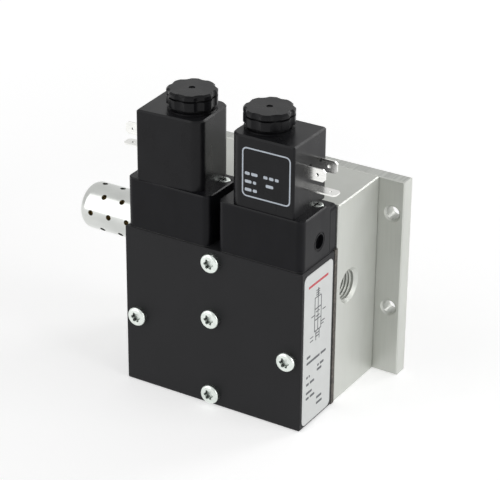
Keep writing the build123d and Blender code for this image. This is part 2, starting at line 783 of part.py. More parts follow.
save("mounting_plate", make_mounting_plate())
save("plate_screws", *[make_plate_screw(x, z) for x, z in plate_screw_places()])
save("port_body", make_port_body())
save("gallery_plugs", *[make_gallery_plug(height) for height in (inlet_height, outlet_height)])
save("seal_plate", make_seal_plate())
save("seal_rings", *[make_seal_ring(x, z) for x, z in seal_ring_places()])
save("valve_block", make_valve_block())
save("block_screws", *[make_block_screw(x, z) for x, z in block_screw_places])
save("side_label", make_side_label())
save("silencer_tube", make_silencer_tube())
save("silencer_neck", make_silencer_neck())
save("silencer_diffuser", make_diffuser())
save("pilot_screws", *[make_pilot_screw(x, y) for side in sides.values()
                       for x, y in pilot_screw_places(side)])

for word, side in sides.items():
    x = side * valve_axis_x
    save(f"bore_plug_{word}", make_bore_plug(x))
    save(f"valve_seats_{word}", *make_seats(x))
    save(f"stem_guide_{word}", make_stem_guide(x))
    save(f"valve_spool_{word}", make_spool(x))
    save(f"poppet_rubbers_{word}", *make_poppet_rubbers(x))
    save(f"piston_seal_{word}", make_piston_seal(x))
    save(f"spool_spring_{word}", make_spring(x, spool_spring_radius, spool_spring_wire,
                                             spool_spring_turns, bore_plug_top, inlet_poppet_bottom))
    save(f"pilot_gasket_{word}", make_pilot_gasket(side))
    save(f"pilot_housing_{word}", make_pilot_housing(side))
    save(f"pilot_cover_{word}", make_pilot_cover(side))
    save(f"pilot_adapter_{word}", make_pilot_adapter(side))
    save(f"nozzle_{word}", make_nozzle(x))
    save(f"guide_tube_{word}", make_guide_tube(x))
    save(f"fixed_core_{word}", make_fixed_core(x))
    save(f"armature_{word}", make_armature(x))
    save(f"armature_seal_{word}", make_armature_seal(x))
    save(f"armature_spring_{word}", make_spring(x, armature_spring_radius, armature_spring_wire,
                                                armature_spring_turns,
                                                armature_top - spring_pocket_depth, core_bottom))
    place = coil_place(side)
    save(f"coil_{word}", place * make_coil())
    save(f"coil_winding_{word}", place * make_winding())
    save(f"coil_yoke_{word}", place * make_yoke())
    save(f"coil_terminals_{word}", *[place * blade for blade in make_coil_terminals()])
    save(f"coil_nut_{word}", place * make_nut())
    save(f"nut_ring_{word}", place * make_nut_ring())
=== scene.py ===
"""Finish, small parts, lights and camera for the two-solenoid press safety valve.

The frame brings every solid in metres: +X to the right, +Y out of the mounting face, +Z up.
Sizes of the valve are written in millimetres and turned to metres by MM. The studio is in metres.
"""
import json
import math

import bmesh
import bpy
from mathutils import Matrix, Vector


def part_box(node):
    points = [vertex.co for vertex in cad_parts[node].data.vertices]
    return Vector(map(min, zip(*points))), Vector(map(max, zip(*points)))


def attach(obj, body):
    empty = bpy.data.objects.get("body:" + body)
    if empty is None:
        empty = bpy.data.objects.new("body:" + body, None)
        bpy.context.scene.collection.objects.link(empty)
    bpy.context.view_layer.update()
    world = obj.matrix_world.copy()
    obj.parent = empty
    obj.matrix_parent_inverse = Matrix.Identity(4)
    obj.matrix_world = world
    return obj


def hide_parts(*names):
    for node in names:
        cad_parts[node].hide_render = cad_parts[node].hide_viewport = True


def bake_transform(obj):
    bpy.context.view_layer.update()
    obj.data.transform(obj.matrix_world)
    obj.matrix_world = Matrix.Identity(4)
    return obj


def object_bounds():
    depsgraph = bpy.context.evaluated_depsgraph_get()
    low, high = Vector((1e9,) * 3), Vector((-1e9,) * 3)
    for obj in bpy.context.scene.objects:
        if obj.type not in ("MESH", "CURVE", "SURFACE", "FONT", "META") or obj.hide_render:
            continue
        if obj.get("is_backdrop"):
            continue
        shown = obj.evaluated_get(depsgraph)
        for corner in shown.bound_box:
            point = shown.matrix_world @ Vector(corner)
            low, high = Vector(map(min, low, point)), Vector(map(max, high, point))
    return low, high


bl_info = {
    "name": "Press safety valve",
    "version": (1, 0, 0),
    "blender": (4, 5, 0),
    "location": "3D View > Sidebar > Valve",
    "description": "Dresses the solids of a pneumatic press safety valve and sets its studio",
    "category": "Object",
}

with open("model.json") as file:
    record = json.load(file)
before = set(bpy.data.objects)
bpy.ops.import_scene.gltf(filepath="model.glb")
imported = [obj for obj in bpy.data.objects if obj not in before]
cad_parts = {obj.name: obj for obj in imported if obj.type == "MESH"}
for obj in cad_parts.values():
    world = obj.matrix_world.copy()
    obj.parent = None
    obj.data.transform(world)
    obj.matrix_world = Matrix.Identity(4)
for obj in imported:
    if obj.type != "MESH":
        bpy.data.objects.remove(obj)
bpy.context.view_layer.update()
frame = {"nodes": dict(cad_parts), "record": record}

MM = 0.001
HOUSING = "housing"
SIDES = ("left", "right")
WHITE = (1, 1, 1)

# Socket numbers of the mix node: its factor, its two colours and the colour that comes out
FACTOR = 0
FIRST_COLOUR = 6
SECOND_COLOUR = 7
COLOUR_OUT = 2
# The same for two plain values
FIRST_VALUE = 2
SECOND_VALUE = 3
VALUE_OUT = 0

# Length of a milling line or a saw mark, in times its pitch
STREAK_LENGTH = 60

# Section of the thread ridge: half its width at the root and at the crest, in pitches
ROOT_HALF = 0.46
CREST_HALF = 0.08
# How far the root sinks into the wall of the port, and the share of its height where the ridge starts
ROOT_SUNK = 0.02 * MM
RIDGE_START = 0.02
THREAD_TURNS = 6.5

# Printed ink: the share of its thickness where its edge starts, and the rounding of bars as a
# share of their smaller side
INK_FOOT = 0.2
BAR_ROUNDING = 0.3

# Studio floor: half its width, its gap below the valve, and its glow at a near and at a far distance
FLOOR_HALF_WIDTH = 3.0
FLOOR_GAP = 0.2 * MM
FLOOR_TONE = (0.8, 0.8, 0.8)
NEAR_DISTANCE = 0.25
FAR_DISTANCE = 1.0
NEAR_GLOW = 0.47
FAR_GLOW = 0.76

SENSOR_WIDTH = 36.0


def linear(code):
    """An sRGB hex colour as linear red, green and blue."""
    parts = [int(code[i:i + 2], 16) / 255 for i in (1, 3, 5)]
    return tuple(c / 12.92 if c <= 0.04045 else ((c + 0.055) / 1.055) ** 2.4 for c in parts)


def opaque(colour):
    """A colour with full alpha."""
    return (*colour[:3], 1.0)


def darker(colour, share):
    """A colour at a share of its brightness."""
    return tuple(c * share for c in colour[:3])


class ValveColours(bpy.types.PropertyGroup):
    """Colours of the finishes, as the bare surface shows them in white light."""

    def tint(name, code, description):
        return bpy.props.FloatVectorProperty(
            name=name, description=description, subtype="COLOR", size=3, min=0, max=1,
            default=linear(code))

    aluminium: tint("Aluminium", "#c6c8c3", "Cut aluminium of the port body and the mounting plate")
    anodised: tint("Anodised block", "#18181a", "Black anodised valve block")
    coil: tint("Coil", "#19191b", "Moulded coils")
    nut: tint("Nut", "#121214", "Moulded nuts on the coils")
    pilot: tint("Pilot", "#141417", "Moulded pilot housings")
    zinc: tint("Zinc", "#d6dcd7", "Zinc plate of the screws")
    nickel: tint("Nickel", "#c3c5c2", "Bright plate of the silencer")
    bronze: tint("Bronze", "#dcb970", "Sintered bronze inside the silencer")
    tin: tint("Tin", "#e2e2df", "Tin plate of the coil blades")
    label: tint("Label", "#d5d7d6", "White film of the side label")
    ink: tint("Ink", "#45484d", "Grey print on the side label")
    accent: tint("Accent", "#c02a3a", "Coloured bar on the side label")
    coil_print: tint("Coil print", "#c6ced8", "Light print on the right coil")


class ValveSizes(bpy.types.PropertyGroup):
    """Sizes of the small parts that only the finish shows."""

    def length(name, size, description):
        return bpy.props.FloatProperty(
            name=name, description=description, default=size * MM, min=0, unit="LENGTH")

    thread_pitch: length("Thread pitch", 1.65, "Pitch of the thread that shows in the ports")
    mouth_depth: length("Port mouth", 2.3, "How far under its face the thread of a port starts")
    thread_depth: length("Thread depth", 0.5, "Height of the thread that shows in the ports")
    print_proud: length("Print thickness", 0.04, "How far printed ink stands on its surface")
    outline_width: length("Outline width", 0.7, "Line of the frame printed on the coil")
    outline_round: length("Outline corner", 2.6, "Corner radius of the frame printed on the coil")
    saw_pitch: length("Saw marks", 1.3, "Distance between saw marks on the cut plate edges")
    brush_pitch: length("Milling lines", 0.35, "Distance between the fine lines of the machined faces")
    mould_grain: length("Mould grain", 0.5, "Grain of the moulded plastics")


class ValveStage(bpy.types.PropertyGroup):
    """Camera and lights."""

    def power(name, watts, description):
        return bpy.props.FloatProperty(
            name=name, description=description, unit="POWER", default=watts)

    camera_place: bpy.props.FloatVectorProperty(
        name="Camera place", description="Where the camera stands", size=3, unit="LENGTH",
        default=(471.43 * MM, -821.21 * MM, 463.39 * MM))
    azimuth: bpy.props.FloatProperty(
        name="Azimuth", description="Turn of the camera round the valve", unit="ROTATION",
        default=math.radians(31.32))
    elevation: bpy.props.FloatProperty(
        name="Elevation", description="Camera angle above the horizon", unit="ROTATION",
        default=math.radians(26.44))
    roll: bpy.props.FloatProperty(
        name="Roll", description="Small tilt of the picture", unit="ROTATION",
        default=math.radians(0.48))
    lens: bpy.props.FloatProperty(
        name="Lens", description="Focal length for a 36 mm wide sensor", unit="CAMERA",
        default=148.7)
    key_power: power("Key light", 4.7, "Power of the large light at the right")
    fill_power: power("Fill light", 4.0, "Power of the light at the left")
    upper_power: power("Upper light", 1.1, "Power of the light above the left front")
    rim_power: power("Rim light", 2.2, "Power of the light behind the right side")
    ambient: bpy.props.FloatProperty(
        name="Ambient", description="Strength of the white surroundings", default=0.33, min=0)


def add(tree, kind, settings=None, values=None, links=None):
    """Add a node with its settings, its socket values and the sockets that feed it."""
    node = tree.nodes.new(kind)
    for name, value in (settings or {}).items():
        setattr(node, name, value)
    for socket, value in (values or {}).items():
        node.inputs[socket].default_value = value
    for socket, source in (links or {}).items():
        tree.links.new(source, node.inputs[socket])
    return node


def surface(name, colour, roughness, metallic=0.0, **constants):
    """Start a material with one shader. Returns the material, its tree and the shader."""
    material = bpy.data.materials.new(name)
    material.use_nodes = True
    material.diffuse_color = opaque(colour)
    tree = material.node_tree
    shader = tree.nodes["Principled BSDF"]
    shader.inputs["Base Color"].default_value = opaque(colour)
    shader.inputs["Metallic"].default_value = metallic
    shader.inputs["Roughness"].default_value = roughness
    for socket, value in constants.items():
        shader.inputs[socket.replace("_", " ")].default_value = value
    return material, tree, shader


def feed(tree, shader, **sources):
    """Let patterns drive sockets of the shader."""
    for socket, source in sources.items():
        tree.links.new(source, shader.inputs[socket.replace("_", " ")])


def place(tree, stretch):
    """Object coordinates, stretched so that one unit is the size in metres given on each axis."""
    where = add(tree, "ShaderNodeTexCoord")
    scale = tuple(1 / size for size in stretch)
    return add(tree, "ShaderNodeMapping", values={"Scale": scale},
               links={"Vector": where.outputs["Object"]}).outputs["Vector"]


def evenly(size):
    """The same size on all three axes."""
    return (size, size, size)


def noise(tree, stretch, detail, **values):
    """A cloudy pattern whose grain has the size in metres given on each axis."""
    return add(tree, "ShaderNodeTexNoise", values={"Scale": 1.0, "Detail": detail, **values},
               links={"Vector": place(tree, stretch)}).outputs["Fac"]


def spread(tree, source, low, high, lowest=0.3, highest=0.7):
    """Turn a pattern between lowest and highest into a value between low and high."""
    return add(tree, "ShaderNodeMapRange",
               values={"From Min": lowest, "From Max": highest, "To Min": low, "To Max": high},
               links={"Value": source}).outputs["Result"]


def mixed(tree, factor, first, second):
    """Mix two colours by a pattern."""
    return add(tree, "ShaderNodeMix", settings={"data_type": "RGBA"},
               values={FIRST_COLOUR: opaque(first), SECOND_COLOUR: opaque(second)},
               links={FACTOR: factor}).outputs[COLOUR_OUT]


def raised(tree, height, depth, strength=1.0):
    """Bump whose full height is depth metres."""
    return add(tree, "ShaderNodeBump", values={"Strength": strength, "Distance": depth},
               links={"Height": height}).outputs["Normal"]


def cut_aluminium(name, colours, sizes, sawn_edges):
    """Bare aluminium, milled on its large faces and sawn on the cut ends of the plate.

    Milling leaves fine lines that run up the faces and make the sheen slightly streaky.
    The saw leaves wider bars across the thickness of the plate.
    """
    colour = colours.aluminium
    material, tree, shader = surface(name, colour, metallic=0.55, roughness=0.46)
    line = sizes.brush_pitch
    lines = noise(tree, (line, line, STREAK_LENGTH * line), detail=3.0)
    cloud = noise(tree, (14 * MM, 14 * MM, 30 * MM), detail=2.0)
    streaks = mixed(tree, spread(tree, lines, 0, 1), darker(colour, 0.94), darker(colour, 1.03))
    patches = mixed(tree, spread(tree, cloud, 0, 1), (0.95, 0.95, 0.94), WHITE)
    tone = add(tree, "ShaderNodeMix", settings={"data_type": "RGBA", "blend_type": "MULTIPLY"},
               values={FACTOR: 1.0},
               links={FIRST_COLOUR: streaks, SECOND_COLOUR: patches}).outputs[COLOUR_OUT]
    height = lines
    depth = 0.02 * MM
    if sawn_edges:
        saw = sizes.saw_pitch
        bars = noise(tree, (saw, STREAK_LENGTH * saw, STREAK_LENGTH * saw), detail=2.0)
        facing = add(tree, "ShaderNodeNewGeometry")
        parts = add(tree, "ShaderNodeSeparateXYZ", links={"Vector": facing.outputs["Normal"]})
        upward = add(tree, "ShaderNodeMath", settings={"operation": "ABSOLUTE"},
                     links={0: parts.outputs["Z"]})
        sawn = spread(tree, upward.outputs[0], 0, 1, lowest=0.6, highest=0.9)
        bar_tone = mixed(tree, spread(tree, bars, 0, 1), darker(colour, 0.72), darker(colour, 0.98))
        tone = add(tree, "ShaderNodeMix", settings={"data_type": "RGBA"},
                   links={FACTOR: sawn, FIRST_COLOUR: tone,
                          SECOND_COLOUR: bar_tone}).outputs[COLOUR_OUT]
        height = add(tree, "ShaderNodeMix", settings={"data_type": "FLOAT"},
                     links={FACTOR: sawn, FIRST_VALUE: lines,
                            SECOND_VALUE: bars}).outputs[VALUE_OUT]
        depth = 0.05 * MM
    feed(tree, shader, Base_Color=tone, Roughness=spread(tree, lines, 0.38, 0.52),
         Normal=raised(tree, height, depth, strength=0.6))
    return material


def anodised_aluminium(colours):
    """Black anodising over a finely milled block: matt, even, with a faint grain."""
    colour = colours.anodised
    material, tree, shader = surface("anodised_aluminium", colour, roughness=0.5,
                                     Specular_IOR_Level=0.2)
    grain = noise(tree, evenly(0.4 * MM), detail=4.0)
    cloud = noise(tree, evenly(22 * MM), detail=3.0)
    tone = mixed(tree, spread(tree, cloud, 0, 1), darker(colour, 0.92), darker(colour, 1.1))
    feed(tree, shader, Base_Color=tone, Roughness=spread(tree, grain, 0.46, 0.58),
         Normal=raised(tree, grain, 0.01 * MM, strength=0.5))
    return material


def moulded_plastic(name, colour, sizes, roughness, grain_depth, specular):
    """Glass-filled plastic from a fine-eroded mould: a satin skin with a small even grain."""
    material, tree, shader = surface(name, colour, roughness=roughness,
                                     Specular_IOR_Level=specular)
    grain = noise(tree, evenly(sizes.mould_grain), detail=3.0, Roughness=0.6)
    flow = noise(tree, (9 * MM, 9 * MM, 16 * MM), detail=2.0)
    tone = mixed(tree, spread(tree, flow, 0, 1), darker(colour, 0.88), darker(colour, 1.12))
    feed(tree, shader, Base_Color=tone,
         Roughness=spread(tree, flow, roughness - 0.05, roughness + 0.06),
         Normal=raised(tree, grain, grain_depth, strength=0.7))
    return material


def plated_metal(name, colour, roughness, mottle=0.05, streak=(2, 2, 2), painted_shade_reach=0.0):
    """Plated metal: bright, with soft differences in the plate and fine turning or rolling lines.

    The streak is in millimetres on each axis. Where a reach is given, the colour is painted darker in
    corners and recesses of that size, as painted shade.
    """
    material, tree, shader = surface(name, colour, metallic=1.0, roughness=roughness)
    patch = noise(tree, tuple(size * MM for size in streak), detail=4.0)
    tone = mixed(tree, spread(tree, patch, 0, 1), darker(colour, 0.86), colour)
    if painted_shade_reach:
        # Painted shade: the colour darkens towards a dark grey in corners and recesses
        occlusion = add(tree, "ShaderNodeAmbientOcclusion",
                     settings={"only_local": True, "samples": 8},
                     values={"Distance": painted_shade_reach})
        unshaded_share = spread(tree, occlusion.outputs["AO"], 0, 1, lowest=0.3, highest=0.72)
        tone = add(tree, "ShaderNodeMix", settings={"data_type": "RGBA"},
                   values={FIRST_COLOUR: opaque(darker(colour, 0.12))},
                   links={FACTOR: unshaded_share, SECOND_COLOUR: tone}).outputs[COLOUR_OUT]
    feed(tree, shader, Base_Color=tone,
         Roughness=spread(tree, patch, roughness - mottle, roughness + mottle),
         Normal=raised(tree, patch, 0.01 * MM, strength=0.4))
    return material


def sintered_bronze(colours):
    """Bronze balls fused together: pale gold, granular, dull."""
    colour = colours.bronze
    material, tree, shader = surface("sintered_bronze", colour, roughness=0.55)
    balls = add(tree, "ShaderNodeTexVoronoi", values={"Scale": 1.0},
                links={"Vector": place(tree, evenly(0.7 * MM))}).outputs["Distance"]
    tone = mixed(tree, spread(tree, balls, 0, 1, lowest=0.1, highest=0.8),
                 colour, darker(colour, 0.3))
    feed(tree, shader, Base_Color=tone, Normal=raised(tree, balls, -0.3 * MM))
    return material


def nitrile_rubber():
    """Moulded seal rubber: near black, soft sheen, light dust in the surface."""
    colour = linear("#1d1d1e")
    dusty = linear("#3a3a3a")
    material, tree, shader = surface("nitrile_rubber", colour, roughness=0.6,
                                     Specular_IOR_Level=0.4)
    dust = noise(tree, evenly(1.2 * MM), detail=5.0)
    tone = mixed(tree, spread(tree, dust, 0, 1, lowest=0.45, highest=0.75), colour, dusty)
    feed(tree, shader, Base_Color=tone, Normal=raised(tree, dust, 0.03 * MM, strength=0.5))
    return material


def moulded_seal_edge():
    """Moulded edge of the seal plate: grey-black, rough, with paler worn spots."""
    fresh = linear("#2c2926")
    worn = linear("#6f685f")
    material, tree, shader = surface("moulded_seal_edge", linear("#3d3c3c"), roughness=0.65)
    chips = noise(tree, (0.8 * MM, 0.8 * MM, 1.6 * MM), detail=6.0, Roughness=0.7)
    tone = mixed(tree, spread(tree, chips, 0, 1, lowest=0.42, highest=0.7), fresh, worn)
    feed(tree, shader, Base_Color=tone, Normal=raised(tree, chips, 0.1 * MM, strength=0.8))
    return material


def enamelled_copper():
    """Wound enamelled wire: warm copper in close turns, about 0.5 mm apart."""
    colour = linear("#b06a3c")
    material, tree, shader = surface("enamelled_copper", colour, metallic=0.9, roughness=0.3)
    one_band = 2 / math.tau
    turns = add(tree, "ShaderNodeTexWave", settings={"bands_direction": "Z"},
                values={"Scale": one_band, "Distortion": 0.2},
                links={"Vector": place(tree, evenly(0.5 * MM))}).outputs["Fac"]
    tone = mixed(tree, turns, darker(colour, 0.35), colour)
    feed(tree, shader, Base_Color=tone, Normal=raised(tree, turns, 0.1 * MM))
    return material


def printed_film(name, colour, roughness=0.35):
    """Smooth printed film: slightly glossy, with faint unevenness of the adhesive below."""
    material, tree, shader = surface(name, colour, roughness=roughness)
    ripple = noise(tree, evenly(6 * MM), detail=1.0)
    tone = mixed(tree, spread(tree, ripple, 0, 1), darker(colour, 0.96), colour)
    feed(tree, shader, Base_Color=tone, Normal=raised(tree, ripple, 0.02 * MM, strength=0.5))
    return material


def painted_floor():
    """Painted studio floor that shows white to the camera and in reflections, and keeps its shadow.

    The far floor gets less light from the lamps, so it glows more and meets a white horizon.
    """
    material, tree, shader = surface("painted_studio_floor", FLOOR_TONE, roughness=0.9,
                                     Specular_IOR_Level=0.0)
    rays = add(tree, "ShaderNodeLightPath")
    where = add(tree, "ShaderNodeTexCoord")
    away = add(tree, "ShaderNodeVectorMath", settings={"operation": "LENGTH"},
               links={0: where.outputs["Object"]}).outputs["Value"]
    glow_here = spread(tree, away, NEAR_GLOW, FAR_GLOW, lowest=NEAR_DISTANCE, highest=FAR_DISTANCE)
    shown = add(tree, "ShaderNodeMath", settings={"operation": "MULTIPLY"},
                links={0: rays.outputs["Is Camera Ray"], 1: glow_here})
    glow = add(tree, "ShaderNodeMath", settings={"operation": "MULTIPLY_ADD"},
               values={1: FAR_GLOW},
               links={0: rays.outputs["Is Glossy Ray"], 2: shown.outputs[0]})
    shader.inputs["Emission Color"].default_value = opaque(WHITE)
    feed(tree, shader, Emission_Strength=glow.outputs[0])
    return material


def dress(material, *nodes):
    """Give a material to the frame's own solids."""
    for name in nodes:
        solid = frame["nodes"][name]
        if not solid.material_slots:
            solid.data.materials.append(material)
        for slot in solid.material_slots:
            slot.material = material


def rubber():
    """The rubber that the blocks step gave to the seal rings."""
    return frame["nodes"]["seal_rings"].material_slots[0].material


def both(*names):
    """The left and the right node of each name."""
    return [f"{name}_{side}" for name in names for side in SIDES]


def new_piece(name, mesh, material, body=HOUSING):
    """Make an object from a bmesh, with its material, riding on a body of the frame."""
    data = bpy.data.meshes.new(name)
    bmesh.ops.recalc_face_normals(mesh, faces=mesh.faces)
    mesh.to_mesh(data)
    mesh.free()
    data.materials.append(material)
    piece = bpy.data.objects.new(name, data)
    bpy.context.scene.collection.objects.link(piece)
    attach(piece, body)
    return piece


def rounded_loop(u0, v0, u1, v1, radius, steps=6):
    """Points round a rectangle with rounded corners."""
    corners = [(u1 - radius, v1 - radius, 0), (u0 + radius, v1 - radius, 1),
               (u0 + radius, v0 + radius, 2), (u1 - radius, v0 + radius, 3)]
    points = []
    for u, v, quarter in corners:
        for step in range(steps + 1):
            angle = (quarter + step / steps) * math.pi / 2
            points.append((u + radius * math.cos(angle), v + radius * math.sin(angle)))
    return points


def bar_loop(u, v, length, height):
    """A plain printed bar that starts at u and stands on v."""
    return rounded_loop(u, v, u + length, v + height, min(length, height) * BAR_ROUNDING, steps=2)


def print_shapes(name, loops, to_space, proud, material):
    """Thin raised patches of ink, one for each loop of flat points."""
    mesh = bmesh.new()
    for loop in loops:
        low, high = [[mesh.verts.new(to_space(u, v, w)) for u, v in loop]
                     for w in (INK_FOOT * proud, proud)]
        mesh.faces.new(high)
        for i in range(len(loop)):
            j = (i + 1) % len(loop)
            mesh.faces.new((low[i], low[j], high[j], high[i]))
    return new_piece(name, mesh, material)


def print_outline(name, outer, inner, to_space, proud, material):
    """A printed line between two loops with the same number of points."""
    mesh = bmesh.new()
    rims = [[mesh.verts.new(to_space(u, v, w)) for u, v in loop]
            for loop in (outer, inner) for w in (INK_FOOT * proud, proud)]
    low_out, high_out, low_in, high_in = rims
    for i in range(len(outer)):
        j = (i + 1) % len(outer)
        mesh.faces.new((high_out[i], high_out[j], high_in[j], high_in[i]))
        mesh.faces.new((low_out[i], low_out[j], high_out[j], high_out[i]))
        mesh.faces.new((low_in[i], high_in[i], high_in[j], low_in[j]))
    return new_piece(name, mesh, material)


def mount(name):
    """Place, axis and radius of a mount of the record, in metres."""
    found = next(m for m in frame["record"]["mounts"] if m["name"] == name)
    return Vector(found["pos_m"]), Vector(found["axis"]), found["dims"].get("r_mm", 0) * MM


def thread_helix(mesh, mouth_point, axis, radius, pitch, depth, turns, steps=48):
    """Ridge of an inner thread that winds into a port from its mouth."""
    side = axis.orthogonal().normalized()
    other = axis.cross(side)
    root = radius + ROOT_SUNK
    previous = None
    for i in range(int(turns * steps) + 1):
        angle = math.tau * i / steps
        out = side * math.cos(angle) + other * math.sin(angle)
        along = -axis * pitch * i / steps
        ease = min(1.0, i / steps, turns - i / steps)
        crest = radius - depth * max(ease, RIDGE_START)
        section = [(root, ROOT_HALF), (crest, CREST_HALF), (crest, -CREST_HALF), (root, -ROOT_HALF)]
        ring = [mesh.verts.new(mouth_point + along + out * r + axis * pitch * shift)
                for r, shift in section]
        if previous:
            for k in range(len(section) - 1):
                mesh.faces.new((previous[k], previous[k + 1], ring[k + 1], ring[k]))
        previous = ring


class VALVE_OT_blocks(bpy.types.Operator):
    """Dress the port body, the mounting plate, the valve block and the seal plate."""
    bl_idname = "valve.blocks"
    bl_label = "Blocks"

    def execute(self, context):
        colours = context.scene.valve_colours
        sizes = context.scene.valve_sizes
        dress(cut_aluminium("milled_aluminium", colours, sizes, sawn_edges=False), "port_body")
        dress(cut_aluminium("sawn_aluminium", colours, sizes, sawn_edges=True), "mounting_plate")
        dress(anodised_aluminium(colours), "valve_block", *both("bore_plug"))
        dress(moulded_seal_edge(), "seal_plate")
        dress(nitrile_rubber(), "seal_rings")
        return {"FINISHED"}


class VALVE_OT_port_threads(bpy.types.Operator):
    """Cut threads in the two pipe ports."""
    bl_idname = "valve.port_threads"
    bl_label = "Port threads"

    def execute(self, context):
        sizes = context.scene.valve_sizes
        metal = frame["nodes"]["port_body"].material_slots[0].material
        low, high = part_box("port_body")
        faces = {"outlet_port": high.x, "inlet_port": -low.z}
        for name, face in faces.items():
            point, axis, radius = mount(name)
            mouth_point = point + axis * (face - point.dot(axis) - sizes.mouth_depth)
            mesh = bmesh.new()
            thread_helix(mesh, mouth_point, axis, radius, sizes.thread_pitch, sizes.thread_depth,
                         THREAD_TURNS)
            new_piece(f"{name}_thread", mesh, metal)
        return {"FINISHED"}


class VALVE_OT_screws(bpy.types.Operator):
    """Dress the screws and the plugs."""
    bl_idname = "valve.screws"
    bl_label = "Screws"

    def execute(self, context):
        # Zinc with painted shade in the recesses and corners of the heads
        zinc = plated_metal("zinc_plated_steel", context.scene.valve_colours.zinc,
                            roughness=0.24, painted_shade_reach=3.0 * MM)
        dress(zinc, "block_screws", "pilot_screws", "plate_screws", "gallery_plugs")
        return {"FINISHED"}


# Everything printed on the label is in millimetres from its front lower corner.
# Rows from the top down: height, then lengths of bars, where a negative length is a gap
LABEL_ROWS = [
    (36.0, (3.5,)),
    (32.8, (12.5, 5.0)),
    (27.6, (-9.5, 1.6, 3.6)),
    (25.2, (1.4, 1.0, -5.0, 4.4)),
    (21.2, (2.6, 4.2)),
    (16.4, (5.6,)),
    (13.4, (2.8, 4.4)),
    (9.6, (-9.2, 5.0)),
    (6.4, (-9.2, 5.6)),
]
LABEL_ROW_START = 3.4
LABEL_BAR_HEIGHT = 1.3
LABEL_BAR_GAP = 0.9
# Coloured bar at the top: distance in, height, length
LABEL_ACCENT = (4.0, 73.6, 18.5)
# Plain switching symbol: three stacked boxes with their ports. A line is distance in, height, length
SYMBOL_LINE_WIDTH = 0.55
SYMBOL_LINE_CORNER = 0.12
SYMBOL_BOX = (10.0, 16.0)
SYMBOL_LEVELS = (66.0, 60.0, 54.0, 48.0)
SYMBOL_LINES = [(SYMBOL_BOX[0], level, SYMBOL_BOX[1] - SYMBOL_BOX[0]) for level in SYMBOL_LEVELS]
SYMBOL_LINES += [(SYMBOL_BOX[0] - 3.0, 57.0, 3.0), (SYMBOL_BOX[1], 51.0, 4.0)]
SYMBOL_LINES += [(SYMBOL_BOX[1], 49.5, 3.0)]
SYMBOL_LINES += [(11.2, level, 3.6) for level in (67.2, 68.4, 69.6, 58.2, 55.8, 46.4, 44.8)]
SYMBOL_LINES += [(6.2, 46.0, 3.0), (6.2, 44.0, 3.0), (17.6, 57.0, 3.0)]
SYMBOL_UPRIGHTS = [(u, SYMBOL_LEVELS[-1], SYMBOL_LEVELS[0] - SYMBOL_LEVELS[-1]) for u in SYMBOL_BOX]
SYMBOL_UPRIGHTS += [(11.4, 43.0, 5.0), (14.6, 43.0, 5.0), (13.0, 66.0, 5.0), (13.0, 48.0, 18.0)]


class VALVE_OT_side_label(bpy.types.Operator):
    """Dress the label on the block and print its bars and lines."""
    bl_idname = "valve.side_label"
    bl_label = "Side label"

    def execute(self, context):
        colours = context.scene.valve_colours
        proud = context.scene.valve_sizes.print_proud
        dress(printed_film("printed_white_film", colours.label), "side_label")
        low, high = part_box("side_label")

        def on_label(u, v, w):
            return Vector((high.x + w, low.y + u * MM, low.z + v * MM))

        accent = [bar_loop(*LABEL_ACCENT, LABEL_BAR_HEIGHT)]
        red = printed_film("accent_ink", colours.accent)
        print_shapes("label_accent", accent, on_label, proud, red)
        ink = printed_film("grey_ink", colours.ink)
        loops = []
        for row, lengths in LABEL_ROWS:
            u = LABEL_ROW_START
            for length in lengths:
                if length > 0:
                    loops.append(bar_loop(u, row, length, LABEL_BAR_HEIGHT))
                u += abs(length) + LABEL_BAR_GAP
        for u, v, length in SYMBOL_LINES:
            loops.append(bar_loop(u, v, length, SYMBOL_LINE_WIDTH))
        for u, v, height in SYMBOL_UPRIGHTS:
            loops.append(rounded_loop(u, v, u + SYMBOL_LINE_WIDTH, v + height,
                                      SYMBOL_LINE_CORNER, steps=2))
        print_shapes("label_print", loops, on_label, proud, ink)
        return {"FINISHED"}


class VALVE_OT_pilots(bpy.types.Operator):
    """Dress the pilot housings, their covers, adapters and gaskets."""
    bl_idname = "valve.pilots"
    bl_label = "Pilots"

    def execute(self, context):
        colours = context.scene.valve_colours
        sizes = context.scene.valve_sizes
        housing = moulded_plastic("glass_filled_nylon", colours.pilot, sizes,
                                  roughness=0.36, grain_depth=0.02 * MM, specular=0.11)
        cover = moulded_plastic("polished_nylon", colours.pilot, sizes,
                                roughness=0.24, grain_depth=0.004 * MM, specular=0.14)
        dress(housing, *both("pilot_housing", "pilot_adapter"))
        dress(cover, *both("pilot_cover"))
        dress(rubber(), *both("pilot_gasket"))
        return {"FINISHED"}


# Frame printed on a coil, in millimetres in from the terminal side and up from the bottom:
# near side, foot, far side and head
COIL_FRAME = (1.9, 5.9, 28.0, 30.9)
# Rows of short bars inside the frame: height and lengths, where a negative length is a gap
COIL_ROWS = [
    (17.0, (2.6, 3.4, -1.6, 2.2, 2.4, 2.0)),
    (12.9, (3.6, 1.7, -3.6, 4.0)),
    (8.8, (3.6, 2.2)),
]
COIL_ROW_START = 26.4
COIL_BAR_HEIGHT = 1.5
COIL_BAR_GAP = 0.8


